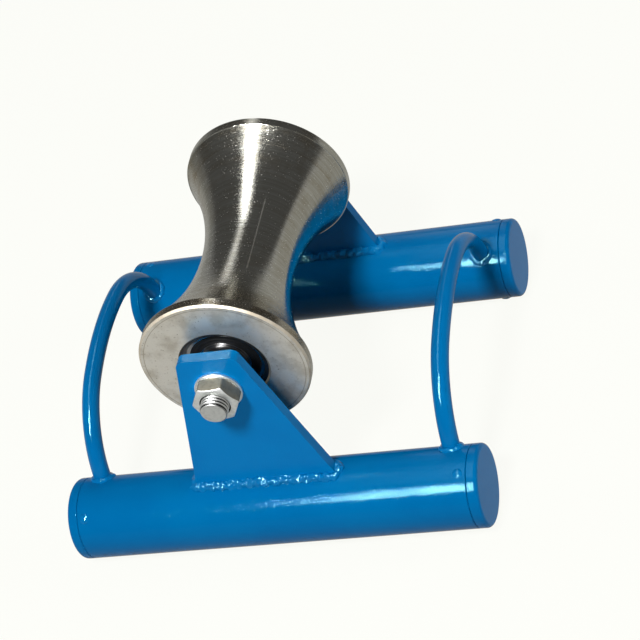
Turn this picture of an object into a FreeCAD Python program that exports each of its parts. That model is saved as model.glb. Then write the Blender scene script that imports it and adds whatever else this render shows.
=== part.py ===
import FreeCAD, Part
import math
import os

# Cable trench roller: an hourglass roller on a fixed axle, carried by two closed tubes.
# X runs along the tubes, Y along the axle with the front at minus Y, Z up.
# The origin is on the ground, midway between the two tubes and their ends.

# base tubes and their plug caps
tube_od = 60.3
tube_wall = 3.6
tube_length = 298.0
tube_spacing = 224.0
cap_head = 8.0
cap_spigot = 12.0
cap_spigot_clearance = 0.05
cap_edge_radius = 3.0
seam_chamfer = 0.5

# plug welds that hold the spigots of the caps
plug_diameter = 7.5
plug_dome_height = 1.0
plugs_per_cap = 2
right_plug_angle = 23.0
left_plug_angle = 41.0

# plates that stand on the crowns of the tubes
plate_thickness = 8.0
plate_top = 190.0
plate_top_width = 43.0
plate_base_width = 108.0
plate_corner_radius = 6.0
plate_edge_radius = 1.0
plate_bead_leg = 4.5
plate_bead_round = 3.5

# bent round bars that tie the tubes together and serve as handles
rod_diameter = 13.0
rod_end_inset = 22.0
rod_apex = 112.0
rod_half_span = 98.5
rod_crown_radius = 185.0
rod_shoulder_radius = 74.0
rod_weld_leg = 3.5

# hourglass roller
axle_height = 160.0
roller_length = 189.0
flange_diameter = 122.0
flange_width = 8.0
flange_chamfer = 1.5
groove_step = 0.6
waist_diameter = 68.0
core_diameter = 46.0
bearing_shoulder = 4.0
mouth_chamfer = 1.5
bearing_recess = 5.0

# deep groove ball bearing, sealed on both sides
bearing_bore = 25.0
bearing_od = 62.0
bearing_width = 17.0
ball_diameter = 11.5
ball_count = 7
ball_clearance = 0.03
race_conformity = 0.52
ring_chamfer = 1.0
inner_land_diameter = 36.6
outer_land_diameter = 50.8
seal_thickness = 1.0
seal_recess = 0.3
seal_lip_clearance = 0.1
cage_wall = 2.7
cage_pocket_clearance = 0.2
cage_end_clearance = 0.3

# retaining ring in the mouth of each bearing seat
circlip_thickness = 2.0
circlip_groove_depth = 1.5
circlip_band = 4.4
circlip_gap_angle = 26.0
circlip_lug_diameter = 7.5
circlip_hole_diameter = 2.5
circlip_side_clearance = 0.08
circlip_rim_clearance = 0.1

# axle, spacers and nuts
thread_diameter = 20.0
thread_hole_clearance = 0.5
thread_chamfer = 1.5
thread_stub = 7.5
axle_shoulder_diameter = 32.0
journal_setback = 0.5
spacer_od = 33.0
spacer_clearance = 0.05
bearing_fit = 0.01
washer_od = 34.0
washer_thickness = 2.0
nut_flats = 30.0
nut_thickness = 12.5
nut_thread_clearance = 0.05
nut_countersink = 1.0

# places worked out from the sizes above
V = FreeCAD.Vector
along_x = V(1, 0, 0)
along_y = V(0, 1, 0)
tube_radius = tube_od / 2
tube_bore_radius = tube_radius - tube_wall
tube_y = tube_spacing / 2
rod_x = tube_length / 2 + cap_head - rod_end_inset
plate_inner = tube_y - plate_thickness / 2
plate_outer = tube_y + plate_thickness / 2
roller_end = roller_length / 2
bearing_outer_face = roller_end - bearing_recess
bearing_inner_face = bearing_outer_face - bearing_width
bearing_middle = bearing_outer_face - bearing_width / 2
seat_radius = bearing_od / 2 + bearing_fit
journal_radius = bearing_bore / 2 - bearing_fit
pitch_radius = (inner_land_diameter + outer_land_diameter) / 4
circlip_face = bearing_outer_face + circlip_side_clearance
thread_radius = thread_diameter / 2
thread_hole_radius = thread_radius + thread_hole_clearance
nut_face = plate_outer + washer_thickness + nut_thickness
axle_end = nut_face + thread_stub


def cylinder_x(radius, x0, x1, y, z):
    return Part.makeCylinder(radius, x1 - x0, V(x0, y, z), along_x)


def cylinder_y(radius, y0, y1, x=0.0, z=axle_height):
    return Part.makeCylinder(radius, y1 - y0, V(x, y0, z), along_y)


def ring_y(outer, inner, y0, y1):
    return cylinder_y(outer, y0, y1).cut(cylinder_y(inner, y0, y1))


def chamfer_rims(shape, radius, size):
    """Chamfer both rims of the round wall of one radius about the axle."""
    rims = [e for e in shape.Edges if len(e.Vertexes) == 1 and abs(e.BoundBox.XLength / 2 - radius) < 0.01]
    return shape.makeChamfer(size, rims)


def to_rear(shape):
    """The rear copy of a front piece, turned half round about the vertical."""
    turned = shape.copy()
    turned.rotate(V(0, 0, 0), V(0, 0, 1), 180)
    return turned


def save(shape, node):
    shape.exportStep("parts/" + node + ".step")


def plug_angles(right):
    """Angles of the plug welds round a tube, from its crown towards the outside."""
    first = right_plug_angle if right else left_plug_angle
    return [first + i * 360.0 / plugs_per_cap for i in range(plugs_per_cap)]


def plug_direction(angle):
    """Direction out of the front tube at an angle from its crown."""
    turn = math.radians(angle)
    return V(0, -math.sin(turn), math.cos(turn))


def plug_x(right):
    side = 1 if right else -1
    return side * (tube_length - cap_spigot) / 2


def front_tube():
    """Round tube with chamfered ends and a hole for each plug weld."""
    x0, x1 = -tube_length / 2, tube_length / 2
    outer = cylinder_x(tube_radius, x0, x1, -tube_y, tube_radius)
    ends = [e for e in outer.Edges if abs(e.CenterOfMass.x) > x1 - 0.01 and len(e.Vertexes) == 1]
    outer = outer.makeChamfer(seam_chamfer, ends)
    tube = outer.cut(cylinder_x(tube_bore_radius, x0, x1, -tube_y, tube_radius))
    for right in (False, True):
        for angle in plug_angles(right):
            start = V(plug_x(right), -tube_y, tube_radius)
            tube = tube.cut(Part.makeCylinder(plug_diameter / 2, tube_od, start, plug_direction(angle)))
    return tube


def front_cap(right):
    """Plug cap: a head as wide as the tube and a spigot inside it."""
    seat = tube_length / 2
    head = cylinder_x(tube_radius, seat, seat + cap_head, -tube_y, tube_radius)
    rim = [e for e in head.Edges if e.CenterOfMass.x > seat + cap_head - 0.01 and len(e.Vertexes) == 1]
    head = head.makeFillet(cap_edge_radius, rim)
    rim = [e for e in head.Edges if abs(e.CenterOfMass.x - seat) < 0.01 and len(e.Vertexes) == 1]
    head = head.makeChamfer(seam_chamfer, rim)
    spigot_radius = tube_bore_radius - cap_spigot_clearance
    cap = head.fuse(cylinder_x(spigot_radius, seat - cap_spigot, seat, -tube_y, tube_radius))
    return cap if right else cap.mirror(V(0, 0, 0), along_x)


def plug_weld(right, angle):
    """Weld that fills a hole of the tube wall and stands out as a low dome."""
    out = plug_direction(angle)
    foot = V(plug_x(right), -tube_y, tube_radius) + out * (tube_bore_radius - cap_spigot_clearance)
    radius = plug_diameter / 2
    shank = Part.makeCylinder(radius, tube_wall + cap_spigot_clearance, foot, out)
    dome_radius = (radius ** 2 + plug_dome_height ** 2) / (2 * plug_dome_height)
    crown = foot + out * (tube_wall + cap_spigot_clearance + plug_dome_height)
    ball = Part.makeSphere(dome_radius, crown - out * dome_radius)
    column = Part.makeCylinder(radius, tube_od, foot, out)
    spigot = cylinder_x(tube_bore_radius - cap_spigot_clearance, -tube_length, tube_length,
                        -tube_y, tube_radius)
    return shank.fuse(ball.common(column)).cut(spigot)


def front_plug_welds():
    return [plug_weld(right, angle) for right in (False, True) for angle in plug_angles(right)]


def front_bracket():
    """Plate with two sloped sides and rounded top corners, on the crown of the tube."""
    half_top, half_base = plate_top_width / 2, plate_base_width / 2
    outline = [V(-half_base, -plate_outer, tube_od), V(half_base, -plate_outer, tube_od),
               V(half_top, -plate_outer, plate_top), V(-half_top, -plate_outer, plate_top)]
    face = Part.Face(Part.makePolygon(outline + outline[:1]))
    plate = face.extrude(V(0, plate_thickness, 0))
    corners = [e for e in plate.Edges
               if e.BoundBox.YLength > plate_thickness / 2 and e.CenterOfMass.z > plate_top - 0.01
               and e.BoundBox.XLength < 0.01]
    plate = plate.makeFillet(plate_corner_radius, corners)
    rims = [e for e in plate.Edges if e.BoundBox.YLength < 0.01 and e.BoundBox.ZMax > tube_od + 0.01]
    plate = plate.makeFillet(plate_edge_radius, rims)
    return plate.cut(cylinder_y(thread_hole_radius, -plate_outer - 1, -plate_inner + 1))


def front_bracket_welds():
    """A bead all round the foot of the plate, domed outside and round at its corners."""
    length = plate_base_width + 2 * plate_bead_leg
    width = plate_thickness + 2 * plate_bead_leg
    height = tube_od + plate_bead_leg - tube_radius
    bead = Part.makeBox(length, width, height, V(-length / 2, -tube_y - width / 2, tube_radius))
    bead = bead.makeFillet(plate_bead_leg, [e for e in bead.Edges if e.BoundBox.ZLength > height / 2])
    crest = tube_radius + height
    bead = bead.makeFillet(plate_bead_round, [e for e in bead.Edges if e.BoundBox.ZMin > crest - 0.01])
    tube = cylinder_x(tube_radius, -tube_length / 2, tube_length / 2, -tube_y, tube_radius)
    under_plate = Part.makeBox(plate_base_width, plate_thickness, plate_bead_leg,
                               V(-plate_base_width / 2, -plate_outer, tube_od - plate_bead_leg))
    return bead.cut([front_bracket(), under_plate, tube])


def rod_spring_height():
    """Height where the shoulders of the bow turn into its straight ends."""
    reach = rod_half_span - rod_shoulder_radius
    drop = rod_crown_radius - math.sqrt((rod_crown_radius - rod_shoulder_radius) ** 2 - reach ** 2)
    return rod_apex - drop


def rod_path():
    """Bow of three tangent arcs from below the surface of one tube to the other."""
    spring = rod_spring_height()
    shoulder_y = rod_half_span - rod_shoulder_radius
    crown_centre = rod_apex - rod_crown_radius
    turn = math.atan2(shoulder_y, spring - crown_centre)
    join_y = rod_crown_radius * math.sin(turn)
    join_z = crown_centre + rod_crown_radius * math.cos(turn)
    middle = (math.pi / 2 + turn) / 2
    mid_y = shoulder_y + rod_shoulder_radius * math.sin(middle)
    mid_z = spring + rod_shoulder_radius * math.cos(middle)
    front = Part.Arc(V(rod_x, -rod_half_span, spring), V(rod_x, -mid_y, mid_z), V(rod_x, -join_y, join_z))
    top = Part.Arc(V(rod_x, -join_y, join_z), V(rod_x, 0, rod_apex), V(rod_x, join_y, join_z))
    rear = Part.Arc(V(rod_x, join_y, join_z), V(rod_x, mid_y, mid_z), V(rod_x, rod_half_span, spring))
    return Part.Wire([front.toShape(), top.toShape(), rear.toShape()])


def both_tubes_solid():
    end = tube_length / 2 + cap_head
    front = cylinder_x(tube_radius, -end, end, -tube_y, tube_radius)
    return front.fuse(to_rear(front))


def handle_rod():
    """Round bar along the bow, coped where it meets the tubes."""
    path = rod_path()
    spring = rod_spring_height()
    section = Part.Wire(Part.makeCircle(rod_diameter / 2, V(rod_x, -rod_half_span, spring), V(0, 0, 1)))
    bow = path.makePipeShell([section], True, False)
    leg_foot = tube_radius / 2
    legs = [Part.makeCylinder(rod_diameter / 2, spring - leg_foot, V(rod_x, y, leg_foot))
            for y in (-rod_half_span, rod_half_span)]
    return bow.fuse(legs).removeSplitter().cut(both_tubes_solid())


def rod_welds(rod):
    """Fillet weld round each foot of the right rod, along the line where it meets the tube."""
    tubes = both_tubes_solid()
    joined = tubes.fuse(rod)
    feet = [e for e in joined.Edges
            if tube_radius < e.CenterOfMass.z < tube_od and abs(e.CenterOfMass.x - rod_x) < rod_diameter / 2]
    return joined.makeChamfer(rod_weld_leg, feet).cut(rod).cut(tubes)


def roller():
    """Hourglass body turned all over, bored through, with a bearing seat in each end."""
    def at(y, radius):
        return V(0, y, axle_height + radius)

    flange = flange_diameter / 2
    groove_end = roller_end - flange_width
    groove_edge = flange - groove_step
    outline = [at(groove_end, groove_edge), at(groove_end, flange), at(roller_end - flange_chamfer, flange),
               at(roller_end, flange - flange_chamfer), at(roller_end, seat_radius + mouth_chamfer),
               at(roller_end - mouth_chamfer, seat_radius), at(bearing_inner_face, seat_radius),
               at(bearing_inner_face, bearing_od / 2 - bearing_shoulder),
               at(bearing_inner_face - bearing_shoulder, core_diameter / 2)]
    mirrored = [V(0, -p.y, p.z) for p in reversed(outline)]
    edges = Part.makePolygon(outline + mirrored).Edges
    groove = Part.Arc(mirrored[-1], at(0, waist_diameter / 2), outline[0])
    face = Part.Face(Part.Wire(edges + [groove.toShape()]))
    body = face.revolve(V(0, 0, axle_height), along_y, 360)
    groove_cut = ring_y(seat_radius + circlip_groove_depth, seat_radius - 1,
                        -circlip_face - circlip_thickness - circlip_side_clearance, -bearing_outer_face)
    return body.cut(groove_cut).cut(to_rear(groove_cut))


def bearing_rings():
    """Outer and inner ring of the front bearing, each with its ball groove."""
    y0, y1 = -bearing_outer_face, -bearing_inner_face
    race = race_conformity * ball_diameter
    reach = ball_diameter / 2 + ball_clearance - race
    outer = ring_y(bearing_od / 2, outer_land_diameter / 2, y0, y1)
    outer = chamfer_rims(outer, bearing_od / 2, ring_chamfer)
    outer = outer.cut(Part.makeTorus(pitch_radius + reach, race, V(0, -bearing_middle, axle_height), along_y))
    inner = ring_y(inner_land_diameter / 2, bearing_bore / 2, y0, y1)
    inner = chamfer_rims(inner, bearing_bore / 2, ring_chamfer)
    inner = inner.cut(Part.makeTorus(pitch_radius - reach, race, V(0, -bearing_middle, axle_height), along_y))
    return outer, inner


def ball_centres():
    turns = [2 * math.pi * i / ball_count for i in range(ball_count)]
    return [V(pitch_radius * math.sin(t), -bearing_middle, axle_height + pitch_radius * math.cos(t))
            for t in turns]


def bearing_balls():
    return [Part.makeSphere(ball_diameter / 2, centre) for centre in ball_centres()]


def bearing_cage():
    """Ring with a round pocket for each ball."""
    half = bearing_width / 2 - seal_recess - seal_thickness - cage_end_clearance
    cage = ring_y(pitch_radius + cage_wall / 2, pitch_radius - cage_wall / 2,
                  -bearing_middle - half, -bearing_middle + half)
    for centre in ball_centres():
        cage = cage.cut(Part.makeSphere(ball_diameter / 2 + cage_pocket_clearance, centre))
    return cage


def bearing_seals():
    """Rubber seal at each side of the bearing, held in its outer ring."""
    lip = inner_land_diameter / 2 + seal_lip_clearance
    outer_y = -bearing_outer_face + seal_recess
    inner_y = -bearing_inner_face - seal_recess - seal_thickness
    return [ring_y(outer_land_diameter / 2, lip, y, y + seal_thickness) for y in (outer_y, inner_y)]


def circlip():
    """Internal retaining ring, open at the bottom, with two lugs for the pliers."""
    outer = seat_radius + circlip_groove_depth - circlip_rim_clearance
    y0 = -circlip_face - circlip_thickness
    ring = ring_y(outer, outer - circlip_band, y0, y0 + circlip_thickness)
    half_gap = math.radians(circlip_gap_angle / 2)
    reach = 2 * outer
    corners = [V(0, y0, axle_height),
               V(-reach * math.sin(half_gap), y0, axle_height - reach * math.cos(half_gap)),
               V(reach * math.sin(half_gap), y0, axle_height - reach * math.cos(half_gap))]
    wedge = Part.Face(Part.makePolygon(corners + corners[:1])).extrude(V(0, circlip_thickness, 0))
    ring = ring.cut(wedge)
    lug_circle = outer - circlip_lug_diameter / 2 - circlip_groove_depth
    lug_turn = half_gap + math.asin(circlip_lug_diameter / 2 / lug_circle)
    for side in (-1, 1):
        x = side * lug_circle * math.sin(lug_turn)
        z = axle_height - lug_circle * math.cos(lug_turn)
        ring = ring.fuse(cylinder_y(circlip_lug_diameter / 2, y0, y0 + circlip_thickness, x, z))
        ring = ring.cut(cylinder_y(circlip_hole_diameter / 2, y0, y0 + circlip_thickness, x, z))
    return ring


def axle():
    """Stepped bar: thick between the bearings, journals under them, thinner threaded ends."""
    def at(y, radius):
        return V(0, y, axle_height + radius)

    journal_end = plate_inner - journal_setback
    shoulder = axle_shoulder_diameter / 2
    half = [at(bearing_inner_face, shoulder), at(bearing_inner_face, journal_radius),
            at(journal_end, journal_radius), at(journal_end, thread_radius),
            at(axle_end - thread_chamfer, thread_radius), at(axle_end, thread_radius - thread_chamfer),
            at(axle_end, 0)]
    other_half = [V(0, -p.y, p.z) for p in reversed(half)]
    outline = half + other_half + half[:1]
    return Part.Face(Part.makePolygon(outline)).revolve(V(0, 0, axle_height), along_y, 360)


def spacer():
    """Collar from the inner ring of the front bearing to the plate."""
    bore = bearing_bore / 2 + spacer_clearance
    return ring_y(spacer_od / 2, bore, -plate_inner, -bearing_outer_face)


def washer():
    y1 = -plate_outer
    return ring_y(washer_od / 2, thread_hole_radius, y1 - washer_thickness, y1)


def nut():
    """Hexagon nut with both faces chamfered at thirty degrees and a countersunk bore."""
    y0, y1 = -nut_face, -nut_face + nut_thickness
    corner = nut_flats / math.sqrt(3)
    points = [V(corner * math.cos(math.radians(60 * i)), y0, axle_height + corner * math.sin(math.radians(60 * i)))
              for i in range(7)]
    body = Part.Face(Part.makePolygon(points)).extrude(V(0, nut_thickness, 0))
    slope = math.tan(math.radians(30))
    face_radius = nut_flats / 2 * 0.95
    wide = face_radius + nut_thickness / slope
    for start, way in ((y0, along_y), (y1, V(0, -1, 0))):
        body = body.common(Part.makeCone(face_radius, wide, nut_thickness, V(0, start, axle_height), way))
    bore = thread_radius + nut_thread_clearance
    return chamfer_rims(body.cut(cylinder_y(bore, y0, y1)), bore, nut_countersink)


def save_pair(shape, name):
    """A front piece and its turned copy at the rear, each in its own node."""
    save(shape, "front_" + name)
    save(to_rear(shape), "rear_" + name)


def main():
    os.makedirs("parts", exist_ok=True)
    save_pair(front_tube(), "tube")
    right_cap, left_cap = front_cap(True), front_cap(False)
    save(right_cap, "front_right_cap")
    save(left_cap, "front_left_cap")
    save(to_rear(left_cap), "rear_right_cap")
    save(to_rear(right_cap), "rear_left_cap")
    save_pair(Part.makeCompound(front_plug_welds()), "plug_welds")
    save_pair(front_bracket(), "bracket")
    save_pair(front_bracket_welds(), "bracket_welds")

    right_rod = handle_rod()
    save(right_rod, "right_handle_rod")
    save(to_rear(right_rod), "left_handle_rod")
    right_welds = rod_welds(right_rod)
    save(right_welds, "right_rod_welds")
    save(to_rear(right_welds), "left_rod_welds")

    save(roller(), "roller")
    save(axle(), "axle")
    outer_ring, inner_ring = bearing_rings()
    save_pair(outer_ring, "bearing_outer_ring")
    save_pair(inner_ring, "bearing_inner_ring")
    save_pair(Part.makeCompound(bearing_balls()), "bearing_balls")
    save_pair(bearing_cage(), "bearing_cage")
    save_pair(Part.makeCompound(bearing_seals()), "bearing_seals")
    save_pair(circlip(), "circlip")
    save_pair(spacer(), "spacer")
    save_pair(washer(), "washer")
    save_pair(nut(), "nut")


main()
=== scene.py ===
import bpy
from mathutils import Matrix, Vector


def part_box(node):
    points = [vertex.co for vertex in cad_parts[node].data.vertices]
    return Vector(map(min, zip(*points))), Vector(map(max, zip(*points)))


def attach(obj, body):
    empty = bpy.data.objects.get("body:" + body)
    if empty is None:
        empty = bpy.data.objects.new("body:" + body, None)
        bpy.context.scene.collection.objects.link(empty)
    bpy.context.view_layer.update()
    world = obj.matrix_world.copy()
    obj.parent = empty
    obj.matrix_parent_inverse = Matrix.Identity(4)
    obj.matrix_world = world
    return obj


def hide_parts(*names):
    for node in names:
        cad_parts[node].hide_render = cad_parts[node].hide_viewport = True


bl_info = {
    "name": "Cable Trench Roller",
    "version": (1, 0, 0),
    "blender": (4, 5, 0),
    "location": "View3D > Sidebar > Roller",
    "description": "Dresses the cable trench roller: tubes, plates, welds, rods, roller, axle and nuts",
    "category": "Add Mesh",
}

import math

import bmesh
import bpy
from bpy.props import FloatProperty, FloatVectorProperty, PointerProperty
from mathutils import Matrix, Vector, geometry, noise

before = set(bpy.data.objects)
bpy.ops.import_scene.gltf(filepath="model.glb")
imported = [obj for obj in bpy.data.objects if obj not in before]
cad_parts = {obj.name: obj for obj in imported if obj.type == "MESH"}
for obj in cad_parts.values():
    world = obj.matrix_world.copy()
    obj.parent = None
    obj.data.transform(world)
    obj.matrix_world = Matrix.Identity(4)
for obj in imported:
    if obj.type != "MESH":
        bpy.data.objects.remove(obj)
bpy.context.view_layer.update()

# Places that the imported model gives, in metres
tube_low, tube_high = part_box("front_tube")
_, cap_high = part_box("front_right_cap")
plate_low, plate_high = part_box("front_bracket")
rod_low, rod_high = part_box("right_handle_rod")
_, roller_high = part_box("roller")
axle_low, axle_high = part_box("axle")
seal_low, seal_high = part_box("front_bearing_seals")
spacer_low, spacer_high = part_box("front_spacer")
washer_low, washer_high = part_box("front_washer")
nut_low, nut_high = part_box("front_nut")

tube_radius = (tube_high.z - tube_low.z) / 2
tube_centre = (tube_low + tube_high) / 2
axle_centre = Vector((0, 0, (axle_low.z + axle_high.z) / 2))
half_turn = Matrix.Rotation(math.pi, 3, "Z")
quarter_turn = Matrix.Rotation(-math.pi / 2, 3, "Z")

# Points nearer to each other than this are one point, in metres
same_point = 0.000001

# Sizes in the welded base, in metres
spigot_clearance = 0.00005
plate_sink = 0.0004
bead_clearance = 0.0002
bead_step = 0.004

# Shares of a plug weld's width and height, and of the radius of a plate's corner
plug_spread = 0.53
plug_rise = 1.6
plug_sink = 0.6
corner_share = 0.78

# Sizes in the roller, the seals and the axle, in metres
clip_groove_width = 0.00224
clip_groove_depth = 0.0015
bearing_shoulder = 0.004
bore_cone = 0.004
seal_inner = 0.0184
seal_rib = 0.00018
seal_thickness = 0.001
core_overlap = 0.004
thread_behind_nut_face = 0.014

# Depth of the thread as a share of its pitch
thread_depth = 0.61

# Radii of the lines and edges on the roller's end faces, in metres
mouth_radius = 0.0326
line_radius = 0.0572
chamfer_radius = 0.0592

# Name, gloss, painted shade and lumps under the enamel of each painted surface; the painted shade is the
# share of the blue that is kept, so these are lit and shaded copies of one enamel
enamel_looks = (("blue_enamel", 0.08, 0.96, 0.0), ("tube_enamel", 0.11, 0.72, 0.0),
                ("edge_enamel", 0.1, 0.74, 0.0), ("bar_enamel", 0.3, 0.76, 0.0),
                ("bead_enamel", 0.5, 0.8, 0.9))

# Half the width of the studio's floor in metres, and its grey for other rays and for the camera
floor_half = 3.0
floor_dark = 0.14
floor_pale = 0.8

# Where the camera stands, in metres and radians, and its lens in millimetres
camera_aim = Vector((0.01629, 0.03846, 0.06003))
camera_azimuth = 0.46
camera_elevation = 0.739
camera_roll = -0.431
camera_distance = 1.797
camera_lens = 133.54
camera_sensor = 36.0


def length(name, text, default):
    """A size that a user may change, in metres."""
    return FloatProperty(name=name, description=text, default=default, min=0.0, precision=5, unit="LENGTH",
                         subtype="DISTANCE")


def colour(name, text, default):
    """A colour that a user may change."""
    return FloatVectorProperty(name=name, description=text, default=default, size=3, min=0.0, max=1.0,
                               subtype="COLOR")


def amount(name, text, default):
    """A plain number that a user may change."""
    return FloatProperty(name=name, description=text, default=default, min=0.0)


class BaseSizes(bpy.types.PropertyGroup):
    """Sizes of the welded base."""

    tube_wall: length("Tube wall", "Wall thickness of the base tubes", 0.0036)
    seam_chamfer: length("Seam chamfer", "Chamfer on each side of the seam at a cap", 0.0005)
    seam_gap: length("Seam gap", "Open width at the root of the seam", 0.00015)
    cap_edge: length("Cap edge", "Radius round the end face of a cap", 0.003)
    spigot_length: length("Spigot length", "Length of a cap inside its tube", 0.012)
    plug_width: length("Plug width", "Width of the plug weld domes", 0.0075)
    plug_height: length("Plug height", "Height of the plug weld domes", 0.001)
    plate_top_width: length("Plate top width", "Width of a plate at its top", 0.043)
    plate_corner: length("Plate corner", "Radius of the top corners of a plate", 0.006)
    plate_edge: length("Plate edge", "Rounding along the rims of a plate", 0.001)
    plate_hole: length("Plate hole", "Radius of the hole for the axle", 0.0105)
    bead_size: length("Plate bead", "Radius of the weld bead round a plate's foot", 0.0043)
    rod_half_span: length("Rod half span", "Half the distance between the straight ends of a rod", 0.0985)
    rod_crown: length("Rod crown", "Radius of the long arc of a handle rod", 0.185)
    rod_shoulder: length("Rod shoulder", "Radius of the two shoulders of a handle rod", 0.074)
    rod_sink: length("Rod sink", "Depth that a rod is let into the tube wall", 0.002)
    rod_bead: length("Rod bead", "Radius of the weld bead round a rod's foot", 0.0026)


class RollerSizes(bpy.types.PropertyGroup):
    """Sizes of the roller and what carries it."""

    waist_radius: length("Waist radius", "Radius at the middle of the groove", 0.034)
    rim_width: length("Rim width", "Width of the rim at each end", 0.008)
    rim_step: length("Rim step", "Step from the groove up to the rim", 0.0006)
    rim_chamfer: length("Rim chamfer", "Chamfer on the outer edge of the rim", 0.0015)
    core_radius: length("Core radius", "Radius of the bore between the bearings", 0.023)
    seat_radius: length("Seat radius", "Radius of the bearing seats", 0.03101)
    bearing_recess: length("Bearing recess", "Depth of the bearing below the end face", 0.005)
    bearing_width: length("Bearing width", "Width of the bearings", 0.017)
    mouth_chamfer: length("Mouth chamfer", "Chamfer at the mouth of the seats", 0.0015)
    thread_radius: length("Thread radius", "Radius over the crests of the thread", 0.01)
    thread_pitch: length("Thread pitch", "Distance between two turns of the thread", 0.0025)
    end_radius: length("End radius", "Radius of the flat end of the axle", 0.0087)
    shoulder_radius: length("Shoulder radius", "Radius of the axle between the bearings", 0.016)
    journal_radius: length("Journal radius", "Radius of the axle under the bearings", 0.01249)
    nut_flats: length("Nut flats", "Width of the nuts across their flats", 0.03)
    nut_corner: length("Nut corner", "Rounding of the nuts' corners", 0.0009)
    nut_countersink: length("Nut countersink", "Depth of the countersink of a nut", 0.001)
    washer_hole: length("Washer hole", "Radius of the hole of a washer", 0.0105)


class FinishColours(bpy.types.PropertyGroup):
    """Colours of the surfaces."""

    enamel: colour("Enamel", "Blue enamel of the welded base", (0.0, 0.168, 0.445))
    enamel_dark: colour("Thick enamel", "Blue enamel where it lies thicker", (0.0, 0.14, 0.4))
    sheen: colour("Sheen", "Tint of what the enamel mirrors", (0.35, 0.95, 1.0))
    turned: colour("Turned steel", "Bare steel of the roller's groove", (0.6, 0.6, 0.55))
    turned_dark: colour("Dark turning lines", "Steel in the deeper turning lines", (0.44, 0.43, 0.37))
    scratch: colour("Scratches", "Bright metal in scratches and specks", (0.85, 0.82, 0.74))
    stain: colour("Stain", "Brown film on the bare steel", (0.27, 0.21, 0.12))
    face: colour("End face", "Bare steel of the roller's end faces", (0.84, 0.8, 0.71))
    rust: colour("Rust", "Small rust spots", (0.23, 0.09, 0.03))
    zinc: colour("Zinc", "Zinc plating of nuts and washers", (0.86, 0.88, 0.86))
    # Painted shade: a darker copy of the zinc for the flats of the nuts
    shaded_zinc: colour("Dull zinc", "Zinc plating on the flats of the nuts", (0.3, 0.27, 0.2))
    axle: colour("Axle steel", "Bare steel of the axle", (0.72, 0.73, 0.71))
    # Painted shade: the spacers are made near black where they sit in shade between the plates and the
    # bearings
    spacer: colour("Spacer steel", "Oiled dark steel of the spacers", (0.12, 0.12, 0.12))
    bearing: colour("Bearing steel", "Ground steel of the bearing rings and balls", (0.42, 0.42, 0.42))
    spring: colour("Spring steel", "Blackened steel of the retaining rings", (0.12, 0.115, 0.11))
    rubber: colour("Rubber", "Rubber of the bearing seals", (0.006, 0.007, 0.008))
    cage: colour("Cage", "Plastic of the ball cages", (0.74, 0.69, 0.52))


class StudioLight(bpy.types.PropertyGroup):
    """Lights and floor of the studio."""

    key_power: amount("Key power", "Watts of the lamp above the front", 38.0)
    front_power: amount("Front power", "Watts of the low soft lamp in front", 15.0)
    strip_power: amount("Strip power", "Watts of the narrow lamp at the front left", 66.0)
    top_power: amount("Top power", "Watts of the long lamp above, seen only in glossy surfaces", 18.0)
    far_power: amount("Far power", "Watts of the tall lamp behind, seen only in glossy surfaces", 3.0)
    back_power: amount("Back power", "Watts of the low lamp behind", 13.0)
    side_power: amount("Side power", "Watts of the soft lamp at the right", 16.0)
    left_power: amount("Left power", "Watts of the soft lamp at the left", 9.0)
    ambient: amount("Ambient", "Brightness of the surroundings on matte surfaces", 0.014)
    ceiling: amount("Ceiling", "Brightness of the upper studio in glossy surfaces", 0.09)
    horizon: amount("Horizon", "Brightness of the lower studio in glossy surfaces", 0.46)
    floor_glow: amount("Floor glow", "Share of the floor's own brightness in its look", 0.95)
    backdrop: colour("Backdrop", "Colour of the floor and surroundings as seen", (0.985, 0.99, 0.945))


class Signal:
    """A shader value that takes part in Python arithmetic."""

    def __init__(self, finish, socket):
        self.finish = finish
        self.socket = socket

    def maths(self, operation, first, second=0.0):
        return self.finish.node("ShaderNodeMath", {"operation": operation}, {0: first, 1: second})

    def __add__(self, other):
        return self.maths("ADD", self, other)

    def __sub__(self, other):
        return self.maths("SUBTRACT", self, other)

    def __rsub__(self, other):
        return self.maths("SUBTRACT", other, self)

    def __mul__(self, other):
        return self.maths("MULTIPLY", self, other)

    def __pow__(self, other):
        return self.maths("POWER", self, other)

    def __abs__(self):
        return self.maths("ABSOLUTE", self)

    __radd__ = __add__
    __rmul__ = __mul__

    def least(self, other):
        return self.maths("MINIMUM", self, other)

    def most(self, other):
        return self.maths("MAXIMUM", self, other)


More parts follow.
